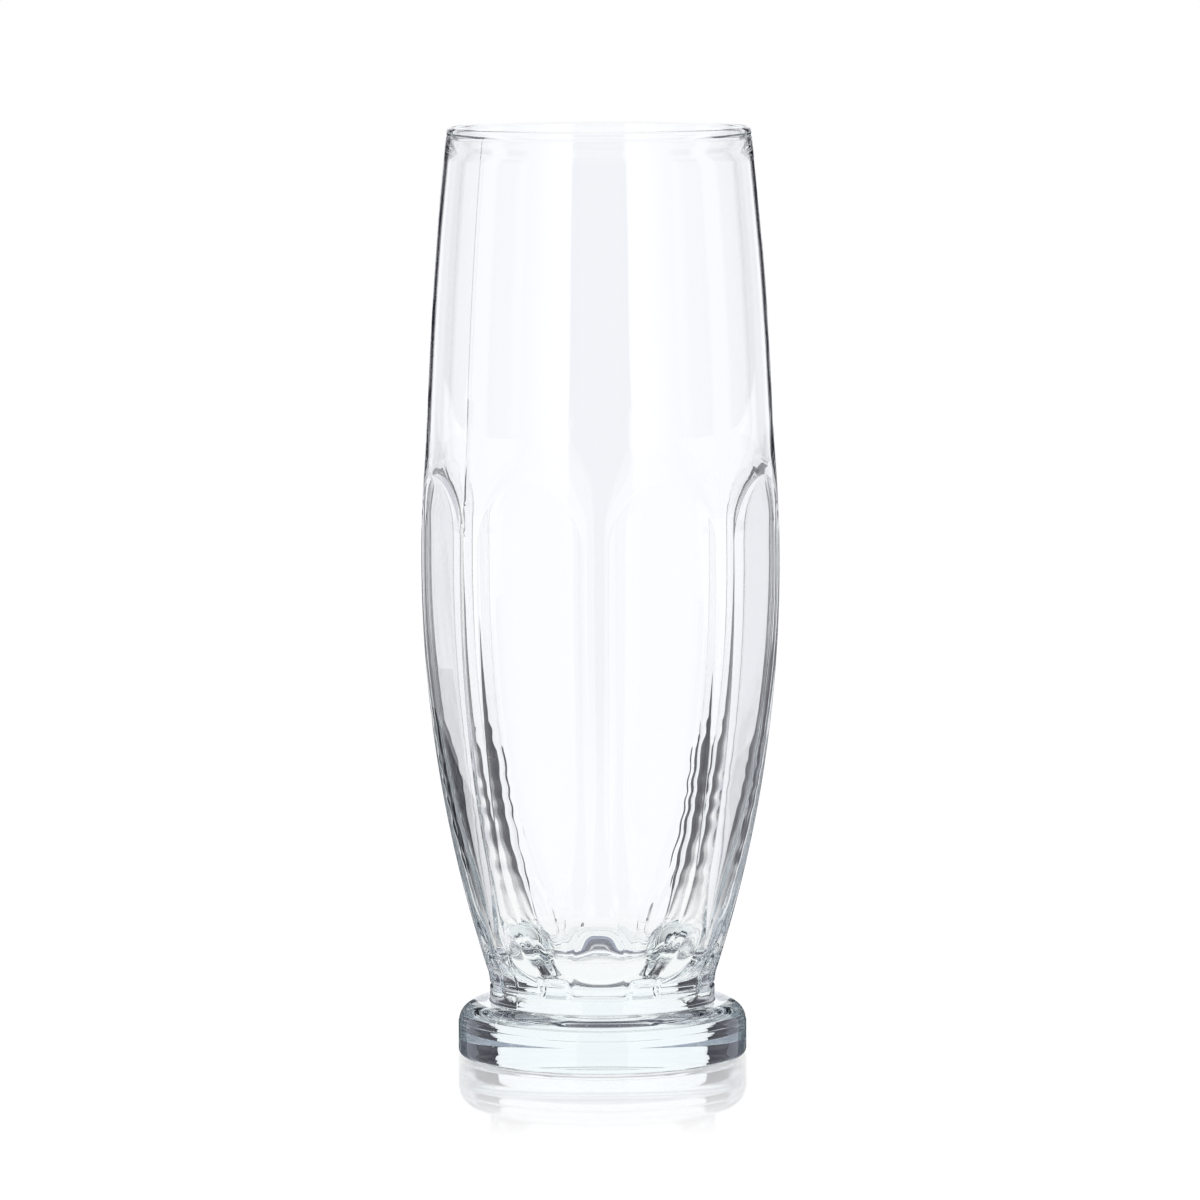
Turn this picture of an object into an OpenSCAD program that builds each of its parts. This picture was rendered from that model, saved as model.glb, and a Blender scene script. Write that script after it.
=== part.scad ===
// Tall beer tumbler of clear moulded glass, open at the top and free standing.
// A plain barrel wall runs down into eight flat panels with arched tops. The panels close in
// on a solid base, which stands on a plain collar and a thick round foot.
// The axis is Z, the table is Z = 0, and one ridge between two panels faces -Y.

/* [Overall] */
// Height from the table to the top of the rim
height = 200; // [196:1:206]
// Outer diameter of the mouth, just under the rim
mouth_d = 65.8; // [65:0.2:66.6]

/* [Body] */
// Diameter over the ridges at the widest level
belly_d = 77.5; // [77:0.1:78]
// Height of the widest level
belly_z = 107; // [104:1:110]
// Diameter that the plain barrel wall heads for at the widest level
barrel_d = 76.6; // [76.4:0.1:76.8]
// Diameter of the neck under the panels, which the collar shares
neck_d = 49.2; // [48:0.2:50.4]
// Height at which the panelled wall has come in to the neck
neck_z = 17.6; // [17:0.2:19]

/* [Panels] */
// Number of flat panels round the body
panel_count = 8; // [8:1:9]
// Share of each sector that the flat panel takes, the rest is ridge
panel_share = 0.77; // [0.7:0.01:0.8]
// Height at which the panel starts to turn outwards to its arched top
arch_start_z = 112; // [110:1:114]
// Height of the tip of the arch
arch_tip_z = 127.5; // [126:0.5:130]
// Depth of the panel's middle below the ridges, where it meets the neck
panel_toe_depth = 0.3; // [0.2:0.05:0.5]
// Height of the panel's lower end
panel_end_z = 15.7; // [15.2:0.1:16.4]

/* [Cavity] */
// Wall thickness under the rim
rim_wall = 1.5; // [1.4:0.1:1.8]
// Wall thickness at the middle of a panel, at the widest level
panel_wall = 1.8; // [1.6:0.1:2]
// Wall thickness under a ridge, at the widest level
ridge_wall = 1.6; // [1.5:0.1:1.8]
// Height of the floor of the cavity, which is the thickness of the solid base
floor_z = 18.5; // [18:0.5:20]
// Radius of the cavity at the top of its rounded bottom
bottom_r = 19.5; // [18.5:0.5:20]
// Height of the top of the rounded bottom
bottom_z = 25; // [24.5:0.5:26]
// Radius of the rounding between the cavity's floor and its side
bottom_round = 6; // [5:0.5:7]

/* [Foot] */
// Outer diameter of the foot
foot_d = 62.8; // [61:0.2:64]
// Height of the foot's upright side
foot_side = 7.3; // [7:0.1:7.8]
// Height of the foot with its shoulder
foot_h = 11.8; // [11.6:0.1:12]
// Radius of the rounded shoulder
foot_shoulder = 4.9; // [4.7:0.1:5.1]
// Width of the crease between the upright side and the shoulder
foot_crease = 0.2; // [0.1:0.1:0.4]
// Radius of the rounded lower edge
foot_edge = 1.3; // [0.8:0.1:1.8]
// Depth of the hollow under the foot
underside_depth = 1.1; // [0.6:0.1:1.6]
// Diameter of the hollow under the foot
underside_d = 52; // [48:1:56]
// Height of the plain collar between the foot and the panels
collar_h = 3; // [2.6:0.1:3]

/* [Hidden] */
$fn = 180;

// Radius of an arc that leaves its widest level upright and comes in by `drop` over `span`
function arc_radius(drop, span) = (span * span + drop * drop) / (2 * drop);
// Distance that an arc of radius `r` has come in at `span` from its widest level
function arc_drop(r, span) = r - sqrt(r * r - span * span);

mouth_r = mouth_d / 2;
belly_r = belly_d / 2;
barrel_r = barrel_d / 2;
neck_r = neck_d / 2;
foot_r = foot_d / 2;

// Levels where one zone of the glass passes into the next
rim_h = 2;
rim_z = height - rim_h;
arch_clear = 6;
upper_z = arch_tip_z + arch_clear;
base_z = 30;
collar_top_z = foot_h + collar_h;

// Arcs of the outside: the barrel wall above, the ridges below
barrel_arc = arc_radius(barrel_r - mouth_r, height - belly_z);
ridge_arc = arc_radius(belly_r - neck_r, belly_z - neck_z);

// Arc down the middle of a panel: flat across, it narrows as it comes out towards the neck
half_panel = panel_share * 180 / panel_count;
panel_belly_r = belly_r * cos(half_panel);
panel_toe_r = neck_r - panel_toe_depth;
panel_arc = arc_radius(panel_belly_r - panel_toe_r, belly_z - neck_z);
arch_rise = barrel_r - arc_drop(barrel_arc, arch_tip_z - belly_z) - panel_belly_r;
arch_turn = arc_radius(arch_rise, arch_tip_z - arch_start_z);

// Arcs of the inside, upper and lower, and the rounding at the floor
cavity_mouth_r = mouth_r - rim_wall;
cavity_belly_r = belly_r - ridge_wall;
cavity_upper_arc = arc_radius(cavity_belly_r - cavity_mouth_r, height - belly_z);
cavity_lower_arc = arc_radius(cavity_belly_r - bottom_r, belly_z - bottom_z);
round_z = floor_z + bottom_round;
round_r = cavity_belly_r - cavity_lower_arc
    + sqrt(pow(cavity_lower_arc - bottom_round, 2) - pow(belly_z - round_z, 2));
round_meets_z = belly_z - (belly_z - round_z) * cavity_lower_arc / (cavity_lower_arc - bottom_round);

// Clearance that carries a cutting shape past the faces it cuts
over = 5;

glass = [0.86, 0.93, 0.94, 0.45];

// Upright band of the half plane between two levels
module band(low, high, reach = belly_r + over) {
    translate([0, low])
        square([reach, high - low]);
}

// Disc whose edge bulges out to `r` at the level `z`, with the arc radius `bulge`
module arc_disc(r, z, bulge) {
    translate([r - bulge, z])
        circle(r = bulge);
}

// Outline of the glass before the panels and the cavity are taken out
module outer_outline(low, high) {
    if (low < upper_z)
        intersection() {
            arc_disc(belly_r, belly_z, ridge_arc);
            band(low, min(high, upper_z));
        }
    if (high > belly_z)
        intersection() {
            arc_disc(barrel_r, belly_z, barrel_arc);
            band(max(low, belly_z), high);
        }
    if (low < neck_z)
        band(low, neck_z, neck_r);
}

// Outline of the space that holds the drink
module cavity_outline() {
    intersection() {
        arc_disc(cavity_belly_r, belly_z, cavity_upper_arc);
        band(belly_z, height + over);
    }
    intersection() {
        arc_disc(cavity_belly_r, belly_z, cavity_lower_arc);
        band(round_meets_z, belly_z);
    }
    intersection() {
        translate([round_r, round_z])
            circle(r = bottom_round);
        band(floor_z, round_meets_z);
    }
    band(floor_z, round_meets_z, round_r);
}

// Space outside one panel, seen from the side, moved inwards by `shift`
module panel_side(shift = 0) {
    centre_r = panel_belly_r - panel_arc - shift;
    top_lean = asin((arch_start_z - belly_z) / panel_arc);
    translate([-shift, 0])
        difference() {
            translate([0, panel_end_z])
                square([belly_r + over + shift, arch_start_z - panel_end_z]);
            arc_disc(panel_belly_r, belly_z, panel_arc);
        }
    intersection() {
        translate([centre_r + (panel_arc + arch_turn) * cos(top_lean),
                   belly_z + (panel_arc + arch_turn) * sin(top_lean)])
            circle(r = arch_turn);
        band(arch_start_z, upper_z);
    }
}

// Space outside every panel, which leaves flat panels with ridges between them
module panel_spaces(shift = 0) {
    step = 360 / panel_count;
    for (i = [0 : panel_count - 1])
        rotate(-90 + (i + 0.5) * step)
            rotate([90, 0, 0])
                linear_extrude(height = belly_d, center = true)
                    panel_side(shift);
}

// Space inside the glass: round, with a flat behind each panel
module cavity() {
    difference() {
        rotate_extrude()
            cavity_outline();
        panel_spaces(panel_wall);
    }
}

// Fire-polished bead that closes the top edge of the wall
module rim() {
    bead_r = rim_wall / 2;
    color(glass)
        rotate_extrude() {
            translate([mouth_r - bead_r, height - bead_r])
                circle(r = bead_r);
            translate([mouth_r - rim_wall, rim_z])
                square([rim_wall, rim_h - bead_r]);
        }
}

// Plain thin wall, where the mouth narrows
module upper_wall() {
    color(glass)
        rotate_extrude()
            difference() {
                outer_outline(upper_z, rim_z);
                cavity_outline();
            }
}

// Belly with its flat panels, arched at the top, and the ridges between them
module panelled_wall() {
    color(glass)
        difference() {
            rotate_extrude()
                outer_outline(base_z, upper_z);
            panel_spaces();
            cavity();
        }
}

// Solid glass under the cavity, where the panels end
module solid_base() {
    color(glass)
        difference() {
            rotate_extrude()
                outer_outline(collar_top_z, base_z);
            panel_spaces();
            cavity();
        }
}

// Plain round neck between the panels and the foot
module collar() {
    color(glass)
        translate([0, 0, foot_h])
            cylinder(r = neck_r, h = collar_h);
}

// Thick round foot with a rounded shoulder and a shallow hollow underneath
module foot() {
    hollow_arc = arc_radius(underside_depth, underside_d / 2);
    shoulder_r = foot_r - foot_crease - foot_shoulder;
    color(glass)
        rotate_extrude()
            difference() {
                union() {
                    band(0, foot_h, shoulder_r);
                    band(0, foot_side, foot_r - foot_edge);
                    band(foot_edge, foot_side, foot_r);
                    translate([foot_r - foot_edge, foot_edge])
                        circle(r = foot_edge);
                    intersection() {
                        translate([shoulder_r, foot_h - foot_shoulder])
                            circle(r = foot_shoulder);
                        band(foot_side, foot_h);
                    }
                }
                translate([0, underside_depth - hollow_arc])
                    circle(r = hollow_arc);
            }
}

rim();
upper_wall();
panelled_wall();
solid_base();
collar();
foot();
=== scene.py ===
import math
import bpy
import bmesh
from mathutils import Matrix, Vector


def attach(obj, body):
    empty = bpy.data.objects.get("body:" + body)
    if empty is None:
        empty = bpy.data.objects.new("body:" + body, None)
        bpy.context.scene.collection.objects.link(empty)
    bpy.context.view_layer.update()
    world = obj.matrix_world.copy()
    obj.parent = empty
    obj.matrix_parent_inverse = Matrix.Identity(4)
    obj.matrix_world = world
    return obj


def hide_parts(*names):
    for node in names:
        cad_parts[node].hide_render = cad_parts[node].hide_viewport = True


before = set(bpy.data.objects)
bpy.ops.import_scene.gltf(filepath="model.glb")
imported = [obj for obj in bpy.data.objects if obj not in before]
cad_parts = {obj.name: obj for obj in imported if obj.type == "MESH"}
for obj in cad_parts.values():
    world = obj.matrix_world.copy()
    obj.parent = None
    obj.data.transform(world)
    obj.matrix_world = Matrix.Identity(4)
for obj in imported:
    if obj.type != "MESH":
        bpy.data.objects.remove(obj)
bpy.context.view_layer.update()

# The tumbler is one piece of clear soda-lime glass, blown in a two-part mould and fire-polished at
# the rim. It is spun from one outline, foot to rim to cavity. Eight flat panels are pressed into
# the outside, the cavity follows them softly, and two fine seams stand where the mould parted.
mm = 0.001
height = 199.99
foot_r = 31.1
foot_edge = 1.2
foot_side_z = 7.2
foot_crease = 0.12
foot_top_z = 11.72
shoulder_r = 4.4
shoulder_turn = 80.0
shoulder_stretch = 1.27
hollow_r = 26.0
hollow_depth = 1.1
collar_r = 24.3
collar_fillet = 0.3
fillet_turn = -86.0
collar_top_z = 14.8
neck_z = 17.8
neck_r = 24.6
belly_z = 107.0
belly_r = 38.55
barrel_r = 37.8
barrel_blend = 0.1
mouth_r = 32.5
bead_z = 197.6
bead_neck_z = 198.2
bead_neck_proud = 0.10
bead_proud = 0.15
bead_r = 0.95
bead_turn = 215.0
panels = 8
sector = 45.0
panel_half = 18.3
panel_foot_half = 7.6
panel_end_z = 16.2
panel_blend = 0.05
arch_start_z = 112.4
arch_tip_z = 126.4
window_half = 3.0
window_top_z = 19.3
window_foot_z = 15.35
groove_depth = 0.5
belly_wall = 1.5
top_wall = 0.72
bowl_z = 16.2
bowl_r = 28.0
bowl_turn = math.radians(42.0)
bowl_slope = 0.95
inner_blend = 1.1
rib_swell = 1.5
columns = 256


def arc_radius(drop, span):
    return (span * span + drop * drop) / (2 * drop)


def smooth(low, high, value):
    share = min(1.0, max(0.0, (value - low) / (high - low)))
    return share * share * (3 - 2 * share)


def soft_min(a, b, blend):
    share = min(1.0, max(0.0, 0.5 + 0.5 * (b - a) / blend))
    return b + (a - b) * share - blend * share * (1 - share)


def soft_max(a, b, blend):
    return -soft_min(-a, -b, blend)


def bulge(r, arc, z):
    # Radius at a level of a wall that is widest at the belly and comes in on an arc
    return r - arc + math.sqrt(arc ** 2 - (z - belly_z) ** 2)


ridge_arc = arc_radius(belly_r - neck_r, belly_z - neck_z)
barrel_arc = arc_radius(barrel_r - mouth_r, height - belly_z)


def ridge_radius(z):
    if z < neck_z:
        rise = max(0.0, z - collar_top_z) / (neck_z - collar_top_z)
        return collar_r + (neck_r - collar_r) * rise ** 2
    if z <= belly_z:
        return bulge(belly_r, ridge_arc, z)
    return soft_max(bulge(belly_r, ridge_arc, z), bulge(barrel_r, barrel_arc, z), barrel_blend)


def panel_width(z):
    narrow_z, full_z = 13.0, 44.0
    if z >= arch_tip_z:
        return 0.0
    if z > arch_start_z:
        rise = (z - arch_start_z) / (arch_tip_z - arch_start_z)
        return panel_half * math.sqrt(1 - rise ** 2)
    return panel_foot_half + (panel_half - panel_foot_half) * smooth(narrow_z, full_z, z)


def panel_floor(z):
    # Past its tip and its foot the pressed face runs on out of the glass, so its edge stays crisp
    tip_lean, foot_lean = 0.24, 0.9
    if z > arch_tip_z:
        return ridge_radius(arch_tip_z) + tip_lean * (z - arch_tip_z)
    if z < panel_end_z:
        return panel_floor(panel_end_z) + foot_lean * (panel_end_z - z)
    return ridge_radius(z) * math.cos(math.radians(panel_width(z)))


def base_relief(angle, z):
    # A soft groove runs round the top of the collar and up round the window in which a panel ends
    window_corner, collar_corner = 1.2, 1.6
    low_half, high_half = 0.65, 1.0
    low_z, high_z = 15.8, 17.4
    across = math.radians(angle) * collar_r
    window = soft_min(window_half - across, window_top_z - z, window_corner)
    path = soft_max(window, window_foot_z - z, collar_corner)
    half = low_half + (high_half - low_half) * smooth(low_z, high_z, z)
    return groove_depth * (0.5 + 0.5 * math.cos(math.pi * min(1.0, abs(path) / half)))


def outer_radius(angle, z):
    groove_low_z, groove_top_z = collar_top_z - 0.1, window_top_z + 1.5
    flat = panel_floor(z) / math.cos(math.radians(angle))
    pressed = soft_min(ridge_radius(z), flat, panel_blend)
    if groove_low_z < z < groove_top_z:
        pressed -= base_relief(angle, z)
    return pressed


def bowl_radius(z):
    # The bottom of the cavity is round like a ball, and leaves the ball on a straight slope
    lift = max(0.0, z - bowl_z)
    on_ball = min(lift, bowl_r * (1 - math.cos(bowl_turn)))
    return math.sqrt(on_ball * (2 * bowl_r - on_ball)) + (lift - on_ball) * bowl_slope


def cavity_radius(z):
    bottom_r, bottom_z, bowl_blend = 19.7, 25.0, 1.2
    thin_z, thicken_z, thick_z, rim_thicker = 150.0, 192.8, 197.8, 0.62
    if z <= belly_z:
        belly = belly_r - belly_wall
        arc = arc_radius(belly - bottom_r, belly_z - bottom_z)
        return soft_min(bulge(belly, arc, z), bowl_radius(z), bowl_blend)
    low_wall = belly_wall - (belly_r - barrel_r)
    wall = top_wall + (low_wall - top_wall) * (1 - smooth(belly_z, thin_z, z))
    wall += rim_thicker * smooth(thicken_z, thick_z, z)
    return bulge(barrel_r, barrel_arc, z) - wall


def inner_share(angle, z):
    # Inside, the wall follows the panels with well rounded corners, and swells at the ribs' feet
    round_z, even_z, even_half = 24.0, 60.0, 16.5
    swell_foot_z, swell_z, swell_top_z = 16.5, 23.0, 33.0
    rib_start, rib_full = 0.15, 0.85
    round_r = cavity_radius(z)
    if z > arch_tip_z:
        flat = (panel_floor(z) - ridge_radius(z) + round_r) / round_r
    else:
        flat = math.cos(math.radians(min(panel_width(max(z, even_z)), even_half)))
    pressed = soft_min(1.0, flat / math.cos(math.radians(angle)), inner_blend / round_r)
    follow = 1 - (1 - pressed) * smooth(round_z, even_z, z)
    swell = rib_swell * smooth(rib_start, rib_full, angle / (sector / 2))
    swell *= smooth(swell_foot_z, swell_z, z) * smooth(swell_top_z, swell_z, z)
    return follow - swell / round_r


def ripple(share, z, rib):
    # Where the ribs are thick the glass froze in fine waves on the inside
    wave_height, pitch, own_start, wander, wander_pitch = 0.08, 5.2, 2.4, 1.2, 3.1
    rib_start, rib_full = 0.35, 0.9
    foot_z, low_z, high_z, top_z = 34.0, 50.0, 60.0, 85.0
    phase = own_start * math.sin(rib) + wander * math.sin(z / wander_pitch)
    wave = math.sin(2 * math.pi * z / pitch + phase)
    reach = smooth(rib_start, rib_full, share) * smooth(top_z, high_z, z) * smooth(foot_z, low_z, z)
    return wave_height * wave * reach * abs(math.cos(math.radians(rib)))


def between(stops, share):
    for (a, low), (b, high) in zip(stops, stops[1:]):
        if share <= b:
            return low + (high - low) * (share - a) / (b - a)
    return stops[-1][1]


def slide(share, z):
    # Draws the mesh's columns together along the edges of a panel and of its window
    rib_middle = sector / 2
    least_edge, edge_reach = 4.5, 0.7
    frame_inside, frame_outside = 2.4, 2.6
    window_z, window_clear_z, even_rise = 21.5, 27.0, 25.0
    edge = max(panel_width(z), least_edge)
    drawn = between([(0.0, 0.0), (0.5, edge - edge_reach), (0.8, edge + edge_reach),
                     (1.0, rib_middle)], share)
    if z < window_clear_z:
        window_edge = math.degrees(window_half / collar_r)
        low = between([(0.0, 0.0), (0.2, window_edge - frame_inside),
                       (0.8, window_edge + frame_outside), (1.0, rib_middle)], share)
        drawn = low + (drawn - low) * smooth(window_z, window_clear_z, z)
    return drawn + (share * rib_middle - drawn) * smooth(arch_tip_z, arch_tip_z + even_rise, z)


outline = bmesh.new()


def draw_line(last, r, z, steps):
    start = last.co.copy()
    for i in range(1, steps + 1):
        last = bmesh.ops.extrude_vert_indiv(outline, verts=[last])["verts"][0]
        last.co = start.lerp(Vector((r, 0.0, z)), i / steps)
    return last


def draw_arc(last, centre_r, centre_z, degrees, steps):
    made = bmesh.ops.spin(outline, geom=[last], cent=(centre_r, 0.0, centre_z),
                          axis=(0.0, -1.0, 0.0), dvec=(0.0, 0.0, 0.0),
                          angle=math.radians(degrees), steps=steps)
    return [v for v in made["geom_last"] if isinstance(v, bmesh.types.BMVert)][0]


def draw_curve(last, radius, z, steps):
    start = last.co.z
    for i in range(1, steps + 1):
        last = bmesh.ops.extrude_vert_indiv(outline, verts=[last])["verts"][0]
        level = start + (z - start) * i / steps
        last.co = (radius(level), 0.0, level)
    return last


# Underside, side of the foot, and its shoulder, which is an arc stretched sideways
hollow_arc = arc_radius(hollow_depth, hollow_r)
hollow_turn = -math.degrees(math.asin(hollow_r / hollow_arc))
last = outline.verts.new((0.0, 0.0, hollow_depth))
last = draw_arc(last, 0.0, hollow_depth - hollow_arc, hollow_turn, 6)
last = draw_line(last, foot_r - foot_edge, 0.0, 3)
last = draw_arc(last, foot_r - foot_edge, foot_edge, 90.0, 7)
last = draw_line(last, foot_r, foot_side_z, 4)
crease_r, crease_z = foot_r - foot_crease, foot_side_z + foot_crease
last = draw_line(last, crease_r, crease_z, 1)
shoulder_start = len(outline.verts)
last = draw_arc(last, crease_r - shoulder_r, crease_z, shoulder_turn, 16)
outline.verts.ensure_lookup_table()
for v in outline.verts[shoulder_start:]:
    v.co.x = crease_r - (crease_r - v.co.x) * shoulder_stretch

# Collar, ridges and barrel up to the bead at the rim
last = draw_line(last, collar_r + collar_fillet, foot_top_z, 3)
last = draw_arc(last, collar_r + collar_fillet, foot_top_z + collar_fillet, fillet_turn, 5)
last = draw_line(last, collar_r, collar_top_z - 0.2, 5)
for level, rows in ((17.0, 15), (18.4, 5), (20.6, 14), (24.0, 8), (arch_start_z, 50), (125.0, 18),
                    (arch_tip_z + 1.0, 16), (bead_z, 24)):
    last = draw_curve(last, ridge_radius, level, rows)
last = draw_line(last, mouth_r + bead_neck_proud, bead_neck_z, 2)
last = draw_line(last, mouth_r + bead_proud, height - bead_r, 2)
last = draw_arc(last, mouth_r + bead_proud - bead_r, height - bead_r, bead_turn, 14)

# Cavity from the bead down to its bottom on the axis
last = draw_line(last, cavity_radius(bead_z + 0.1), bead_z + 0.1, 2)
for level, rows in ((192.0, 9), (130.0, 14), (82.0, 24), (27.0, 66), (21.0, 16), (bowl_z + 1.4, 8),
                    (bowl_z + 0.3, 3)):
    last = draw_curve(last, cavity_radius, level, rows)
draw_line(last, 0.0, bowl_z, 3)

# The outline is spun through one panel's share of the round, and copies of that go round with it
weld = 0.0005
outline_mesh = bpy.data.meshes.new("outline")
outline.to_mesh(outline_mesh)
outline.free()
tumbler = bmesh.new()
tumbler.from_mesh(outline_mesh)
bpy.data.meshes.remove(outline_mesh)
bmesh.ops.spin(tumbler, geom=tumbler.verts[:] + tumbler.edges[:], cent=(0, 0, 0), axis=(0, 0, 1),
               dvec=(0, 0, 0), angle=math.radians(sector), steps=columns // panels)
bmesh.ops.spin(tumbler, geom=tumbler.verts[:] + tumbler.edges[:] + tumbler.faces[:],
               cent=(0, 0, 0), axis=(0, 0, 1), dvec=(0, 0, 0),
               angle=math.radians(360 - sector), steps=panels - 1, use_duplicate=True)
bmesh.ops.remove_doubles(tumbler, verts=tumbler.verts, dist=weld)
bmesh.ops.recalc_face_normals(tumbler, faces=tumbler.faces)


def is_outside(r, z, lowest_z):
    return r > 0.5 * (ridge_radius(z) + cavity_radius(max(z, lowest_z)))


plain_z, axis_r = 14.0, 0.001
for v in tumbler.verts:
    r, z = v.co.xy.length, v.co.z
    if r < axis_r:
        continue
    around = math.degrees(math.atan2(v.co.y, v.co.x))
    rib = sector * round(around / sector)
    hand = 1.0 if around >= rib else -1.0
    share = 1 - abs(around - rib) / (sector / 2)
    if z > plain_z and is_outside(r, z, bowl_z):
        off_middle = slide(share, z)
        around = rib + hand * sector / 2 - hand * off_middle
        if z < bead_z - 0.1:
            r = outer_radius(off_middle, z)
    elif bowl_z < z < bead_z - 0.2 and r < cavity_radius(z) + 0.01:
        r = r * inner_share(share * sector / 2, z) + ripple(share, z, rib)
    v.co = (r * math.cos(math.radians(around)), r * math.sin(math.radians(around)), z)

# The seams are fine ridges, the one towards the viewer a little higher than the one behind
front, seam_turn = -90.0, 47.6
seam_heading = math.radians(front - seam_turn)
seam_half, on_seam = 0.16, 0.001
near_seam, far_seam = 0.06, 0.015
seam_low_z, seam_top_z, seam_cavity_z = 1.2, 198.0, 20.0
seam_normal = Vector((-math.sin(seam_heading), math.cos(seam_heading), 0.0))
seam_way = Vector((math.cos(seam_heading), math.sin(seam_heading), 0.0))
for offset in (-seam_half, 0.0, seam_half):
    bmesh.ops.bisect_plane(tumbler, geom=tumbler.verts[:] + tumbler.edges[:] + tumbler.faces[:],
                           dist=0.00001, plane_co=seam_normal * offset, plane_no=seam_normal)
for v in tumbler.verts:
    r, z = v.co.xy.length, v.co.z
    if abs(v.co.dot(seam_normal)) < on_seam and seam_low_z < z < seam_top_z:
        if is_outside(r, max(z, plain_z), seam_cavity_z):
            v.co.xy *= 1 + (near_seam if v.co.dot(seam_way) > 0 else far_seam) / r
bmesh.ops.scale(tumbler, verts=tumbler.verts, vec=(mm, mm, mm))
for face in tumbler.faces:
    face.smooth = True
glass_mesh = bpy.data.meshes.new("tumbler_glass")
tumbler.to_mesh(glass_mesh)
tumbler.free()
tumbler_glass = bpy.data.objects.new("tumbler_glass", glass_mesh)
bpy.context.scene.collection.objects.link(tumbler_glass)

# Clear glass with a faint blue-green depth, and a surface that is very slightly uneven
clear_glass = bpy.data.materials.new("clear_soda_lime_glass")
clear_glass.use_nodes = True
tree = clear_glass.node_tree
glass_face = tree.nodes["Principled BSDF"]
glass_face.inputs["Base Color"].default_value = (1.0, 1.0, 1.0, 1.0)
glass_face.inputs["Roughness"].default_value = 0.0
glass_face.inputs["IOR"].default_value = 1.52
glass_face.inputs["Transmission Weight"].default_value = 1.0
glass_place = tree.nodes.new("ShaderNodeTexCoord")
waver = tree.nodes.new("ShaderNodeTexNoise")
waver.inputs["Scale"].default_value = 60.0
waver.inputs["Detail"].default_value = 1.0
tree.links.new(glass_place.outputs["Object"], waver.inputs["Vector"])
uneven = tree.nodes.new("ShaderNodeBump")
uneven.inputs["Strength"].default_value = 0.03
uneven.inputs["Distance"].default_value = 0.001
tree.links.new(waver.outputs["Fac"], uneven.inputs["Height"])
tree.links.new(uneven.outputs["Normal"], glass_face.inputs["Normal"])
tint = tree.nodes.new("ShaderNodeVolumeAbsorption")
tint.inputs["Color"].default_value = (0.55, 0.85, 0.83, 1.0)
tint.inputs["Density"].default_value = 3.0
tree.links.new(tint.outputs["Volume"], tree.nodes["Material Output"].inputs["Volume"])
glass_mesh.materials.append(clear_glass)

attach(tumbler_glass, "root")
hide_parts("rim", "upper_wall", "panelled_wall", "solid_base", "collar", "foot")

# The table is a wide sheet of polished white acrylic that lies flat under the glass. The camera
# sees it white, with the foot's mirror image close by. The glass sees a white lane along the view
# and painted shade on both sides of it, a dimmer glow for rays from the glass only, which is white
# again further out.
camera_turn = math.radians(1.6)
table_size = 4.0
camera_level, matt_share = 1.13, 0.15
# Painted shade: beside the lane the table glows at the lower level given last, for rays from the
# glass
lane_half, lane_end, painted_shade_level = 0.028, 0.065, 0.15
far_start, far_end, far_slant = 0.10, 0.25, -1.2
mirror_half, mirror_end = 0.026, 0.0335
mirror_near, mirror_far, mirror_share = 0.032, 0.115, 0.55
graze_start, graze_full = 0.35, 0.7
table_mesh = bpy.data.meshes.new("table_top")
sheet = bmesh.new()
bmesh.ops.create_grid(sheet, x_segments=1, y_segments=1, size=table_size)
sheet.to_mesh(table_mesh)
sheet.free()
table_top = bpy.data.objects.new("table_top", table_mesh)
bpy.context.scene.collection.objects.link(table_top)


def along_view(tree, place):
    # Across, along and up in the camera's heading
    turn = tree.nodes.new("ShaderNodeVectorRotate")
    turn.rotation_type = "Z_AXIS"
    turn.inputs["Angle"].default_value = -camera_turn
    tree.links.new(place, turn.inputs["Vector"])
    split = tree.nodes.new("ShaderNodeSeparateXYZ")
    tree.links.new(turn.outputs["Vector"], split.inputs["Vector"])
    return split.outputs["X"], split.outputs["Y"], split.outputs["Z"]


def soft_step(tree, value, start, end, at_start=0.0, at_end=1.0):
    step = tree.nodes.new("ShaderNodeMapRange")
    step.interpolation_type = "SMOOTHSTEP"
    step.inputs["From Min"].default_value = start
    step.inputs["From Max"].default_value = end
    step.inputs["To Min"].default_value = at_start
    step.inputs["To Max"].default_value = at_end
    tree.links.new(value, step.inputs["Value"])
    return step.outputs["Result"]


def reckon(tree, operation, *values):
    sum_node = tree.nodes.new("ShaderNodeMath")
    sum_node.operation = operation
    for socket, value in zip(sum_node.inputs, values):
        if isinstance(value, float):
            socket.default_value = value
        else:
            tree.links.new(value, socket)
    return sum_node.outputs["Value"]


def mix_shaders(tree, share, first, second):
    mix = tree.nodes.new("ShaderNodeMixShader")
    tree.links.new(share, mix.inputs["Fac"])
    tree.links.new(first, mix.inputs[1])
    tree.links.new(second, mix.inputs[2])
    return mix.outputs["Shader"]


white_acrylic = bpy.data.materials.new("white_acrylic")
white_acrylic.use_nodes = True
tree = white_acrylic.node_tree
tree.nodes.clear()
table_place = tree.nodes.new("ShaderNodeTexCoord").outputs["Object"]
table_rays = tree.nodes.new("ShaderNodeLightPath")
to_camera = table_rays.outputs["Is Camera Ray"]
across, along, _ = along_view(tree, table_place)
off_lane = reckon(tree, "ABSOLUTE", across)
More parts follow.
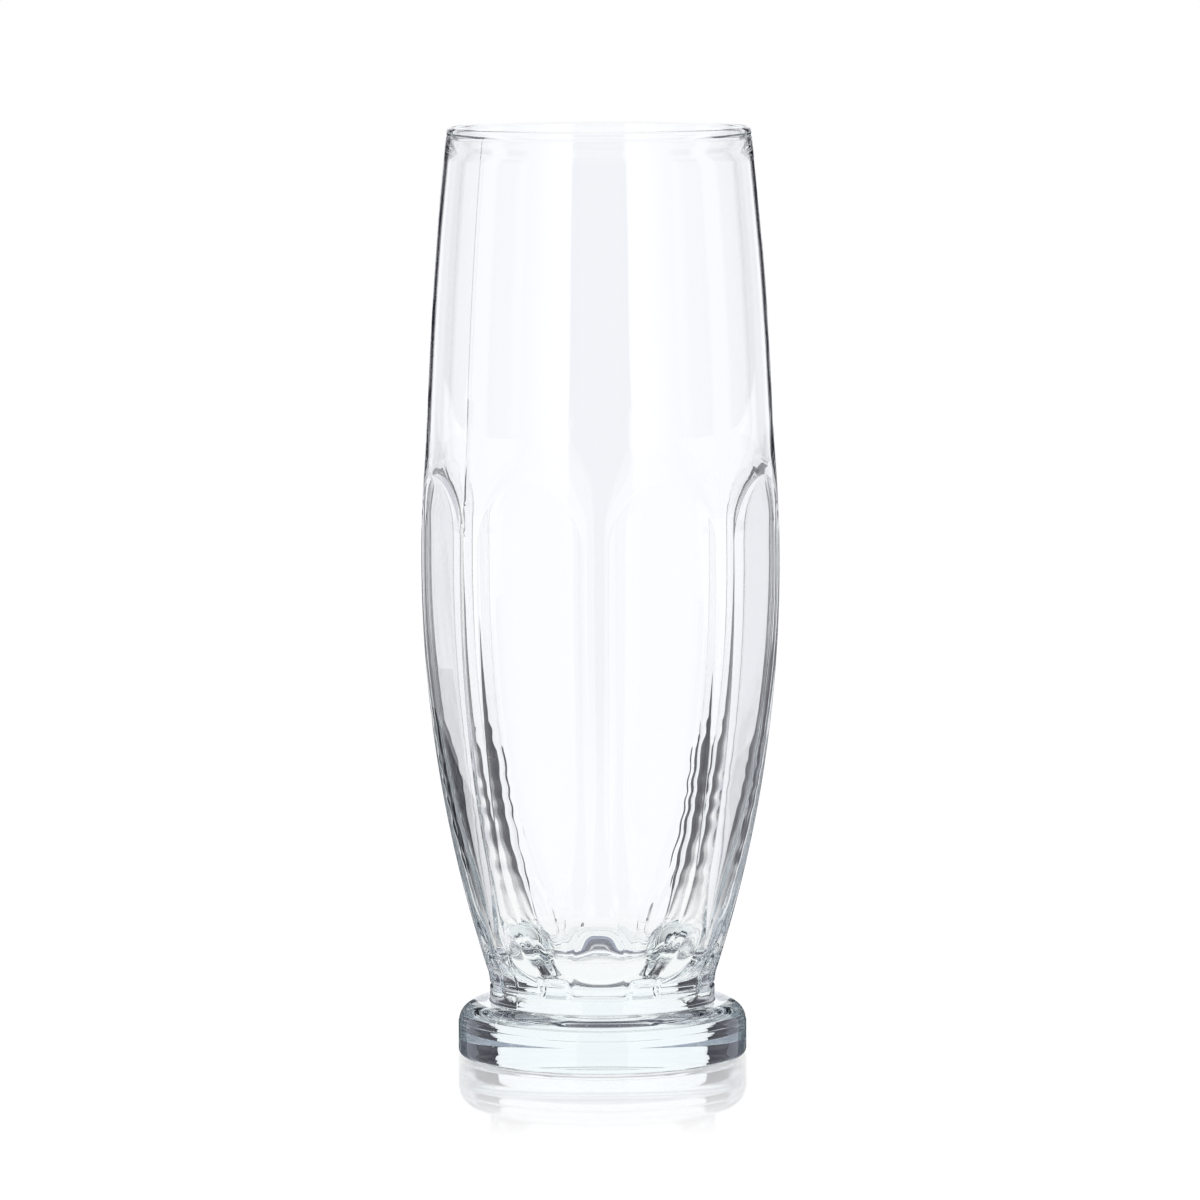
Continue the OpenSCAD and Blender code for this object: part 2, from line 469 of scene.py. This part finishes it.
# Painted shade: the glow falls from white in the lane to a dim level beside it, for rays from the
# glass
painted_side_shade = soft_step(tree, off_lane, lane_half, lane_end, 1.0, painted_shade_level)
sideways = reckon(tree, "MULTIPLY_ADD", reckon(tree, "ABSOLUTE", along), far_slant, off_lane)
far_side = soft_step(tree, sideways, far_start, far_end)
lit = reckon(tree, "MAXIMUM", painted_side_shade, far_side)
plain = reckon(tree, "MAXIMUM", reckon(tree, "MULTIPLY", to_camera, camera_level),
               table_rays.outputs["Is Glossy Ray"])
glow = tree.nodes.new("ShaderNodeEmission")
tree.links.new(reckon(tree, "MAXIMUM", lit, plain), glow.inputs["Strength"])
matt = tree.nodes.new("ShaderNodeBsdfDiffuse")
matt.inputs["Color"].default_value = (0.9, 0.9, 0.9, 1.0)
sheet_body = mix_shaders(tree, reckon(tree, "MULTIPLY", to_camera, matt_share),
                         glow.outputs["Emission"], matt.outputs["BSDF"])
polish = tree.nodes.new("ShaderNodeBsdfGlossy")
polish.inputs["Color"].default_value = (1.0, 1.0, 1.0, 1.0)
polish.inputs["Roughness"].default_value = 0.03
from_foot = tree.nodes.new("ShaderNodeVectorMath")
from_foot.operation = "LENGTH"
tree.links.new(table_place, from_foot.inputs[0])
near_foot = soft_step(tree, from_foot.outputs["Value"], mirror_far, mirror_near, 0.0, mirror_share)
in_front = soft_step(tree, off_lane, mirror_end, mirror_half)
grazing = tree.nodes.new("ShaderNodeLayerWeight")
low_light = soft_step(tree, grazing.outputs["Facing"], graze_start, graze_full)
glass_polish = reckon(tree, "SUBTRACT", low_light, far_side)
glass_polish.node.use_clamp = True
polish_share = tree.nodes.new("ShaderNodeMix")
tree.links.new(to_camera, polish_share.inputs["Factor"])
tree.links.new(glass_polish, polish_share.inputs["A"])
tree.links.new(reckon(tree, "MULTIPLY", near_foot, in_front), polish_share.inputs["B"])
table_face = mix_shaders(tree, polish_share.outputs["Result"], sheet_body, polish.outputs["BSDF"])
table_out = tree.nodes.new("ShaderNodeOutputMaterial")
tree.links.new(table_face, table_out.inputs["Surface"])
table_mesh.materials.append(white_acrylic)

# Two black cards stand upright behind the glass, one on each side, and the camera doesn't see them.
# Their inner edges are cut to the glass's outline, and they draw its edges dark. Light that meets
# them at a flat angle passes, so that they don't show in the glass from other sides.
black_card = bpy.data.materials.new("black_card")
black_card.use_nodes = True
tree = black_card.node_tree
card_face = tree.nodes["Principled BSDF"]
card_face.inputs["Base Color"].default_value = (0.045, 0.042, 0.06, 1.0)
card_face.inputs["Roughness"].default_value = 0.9
card_face.inputs["Specular IOR Level"].default_value = 0.0
card_tilt = tree.nodes.new("ShaderNodeLayerWeight")
edge_on = tree.nodes.new("ShaderNodeMapRange")
edge_on.inputs["From Min"].default_value = 0.36
edge_on.inputs["From Max"].default_value = 0.44
tree.links.new(card_tilt.outputs["Facing"], edge_on.inputs["Value"])
gone = tree.nodes.new("ShaderNodeBsdfTransparent")
card_surface = mix_shaders(tree, edge_on.outputs["Result"], card_face.outputs["BSDF"],
                           gone.outputs["BSDF"])
tree.links.new(card_surface, tree.nodes["Material Output"].inputs["Surface"])
card_back = 0.090
inner_cut = [(0.0, 0.036), (0.045, 0.036), (0.053, 0.047), (0.072, 0.051), (0.105, 0.057),
             (0.150, 0.057), (0.200, 0.053), (0.350, 0.053)]
outer_cut = [(0.0, 0.112), (0.060, 0.112), (0.072, 0.088), (0.350, 0.086)]
for hand in (-1.0, 1.0):
    card = bmesh.new()
    corner = card.verts.new((hand * inner_cut[0][1], card_back, inner_cut[0][0]))
    for z, x in inner_cut[1:]:
        corner = bmesh.ops.extrude_vert_indiv(card, verts=[corner])["verts"][0]
        corner.co = (hand * x, card_back, z)
    made = bmesh.ops.extrude_edge_only(card, edges=card.edges[:])
    for v in made["geom"]:
        if isinstance(v, bmesh.types.BMVert):
            v.co.x = hand * between(outer_cut, v.co.z)
    bmesh.ops.rotate(card, verts=card.verts, cent=(0, 0, 0),
                     matrix=Matrix.Rotation(camera_turn, 3, "Z"))
    card_mesh = bpy.data.meshes.new("black_card")
    card.to_mesh(card_mesh)
    card.free()
    card_mesh.materials.append(black_card)
    stand = bpy.data.objects.new("black_card", card_mesh)
    bpy.context.scene.collection.objects.link(stand)
    stand.visible_camera = False

# The light is a studio round the glass: a white sweep behind, grey sides, two tall soft boxes in
# front with a dim strip between them, and a dark ceiling. What shines through the glass comes from
# darker sides with a white window in each, and the camera itself sees plain white.
world = bpy.data.worlds.new("studio")
bpy.context.scene.world = world
world.use_nodes = True
tree = world.node_tree
tree.nodes.clear()
sweep = (1.0, 1.008, 1.035)
grey_side, dim_side, dark_side = (0.60, 0.60, 0.66), (0.45, 0.45, 0.50), (0.10, 0.10, 0.13)
dusk, evening = (0.48, 0.48, 0.57), (0.61, 0.61, 0.69)
soft_box, strip = (1.10, 1.10, 1.14), (0.32, 0.34, 0.46)
dark_ceiling = (0.12, 0.12, 0.15)
ceiling_start, ceiling_full = math.radians(38), math.radians(58)
boxes = [(150, soft_box), (159.2, soft_box), (159.8, strip), (180, strip)]
mirrored = [(0, sweep), (33, sweep), (40, grey_side), (70, grey_side), (80, dim_side), (112, dusk)]
bent = [(0, sweep), (33, sweep), (40, grey_side), (46, grey_side), (54, dark_side), (80, dark_side),
        (84, sweep), (96, sweep), (100, dark_side), (115, dark_side), (120, evening)]


def colour_ring(tree, heading_share, stops):
    ring = tree.nodes.new("ShaderNodeValToRGB")
    points = ring.color_ramp.elements
    while len(points) < len(stops):
        points.new(0.5)
    for point, (degrees, colour) in zip(points, stops):
        point.position = degrees / 180
        point.color = (*colour, 1.0)
    tree.links.new(heading_share, ring.inputs["Fac"])
    return ring.outputs["Color"]


studio_way = tree.nodes.new("ShaderNodeTexCoord")
across, along, up = along_view(tree, studio_way.outputs["Generated"])
heading = reckon(tree, "ABSOLUTE", reckon(tree, "ARCTAN2", across, along))
heading_share = reckon(tree, "DIVIDE", heading, math.pi)
studio_rays = tree.nodes.new("ShaderNodeLightPath")
walls = tree.nodes.new("ShaderNodeMix")
walls.data_type = "RGBA"
tree.links.new(studio_rays.outputs["Is Transmission Ray"], walls.inputs["Factor"])
tree.links.new(colour_ring(tree, heading_share, mirrored + boxes), walls.inputs["A"])
tree.links.new(colour_ring(tree, heading_share, bent + boxes), walls.inputs["B"])
overhead = soft_step(tree, up, math.sin(ceiling_start), math.sin(ceiling_full))
ceiling = tree.nodes.new("ShaderNodeMix")
ceiling.data_type = "RGBA"
ceiling.inputs["B"].default_value = (*dark_ceiling, 1.0)
tree.links.new(overhead, ceiling.inputs["Factor"])
tree.links.new(walls.outputs["Result"], ceiling.inputs["A"])
studio_light = tree.nodes.new("ShaderNodeBackground")
tree.links.new(ceiling.outputs["Result"], studio_light.inputs["Color"])
backdrop = tree.nodes.new("ShaderNodeBackground")
backdrop.inputs["Color"].default_value = (1.0, 1.0, 1.0, 1.0)
studio = mix_shaders(tree, studio_rays.outputs["Is Camera Ray"],
                     studio_light.outputs["Background"], backdrop.outputs["Background"])
world_out = tree.nodes.new("ShaderNodeOutputWorld")
tree.links.new(studio, world_out.inputs["Surface"])

# The camera stands about a metre and a half from the glass with a long lens, a little above the
# rim. It looks slightly down, and stands a little to one side of the ridge in front.
sensor = 36.0
focal_pixels, picture_pixels = 7300, 1200
distance, camera_z = 1.562, 0.256
tilt, roll, aim_off = math.radians(5.765), math.radians(0.23), 0.00030
lens = bpy.data.cameras.new("long_lens")
lens.sensor_width = sensor
lens.lens = sensor * focal_pixels / picture_pixels
camera = bpy.data.objects.new("camera", lens)
bpy.context.scene.collection.objects.link(camera)
camera.location = (distance * math.sin(camera_turn), -distance * math.cos(camera_turn), camera_z)
camera.rotation_euler = (math.pi / 2 - tilt, roll, camera_turn - aim_off)
scene = bpy.context.scene
scene.camera = camera
scene.view_settings.view_transform = "Standard"
scene.cycles.max_bounces = 32
scene.cycles.transmission_bounces = 32
scene.cycles.glossy_bounces = 24
scene.cycles.use_denoising = True
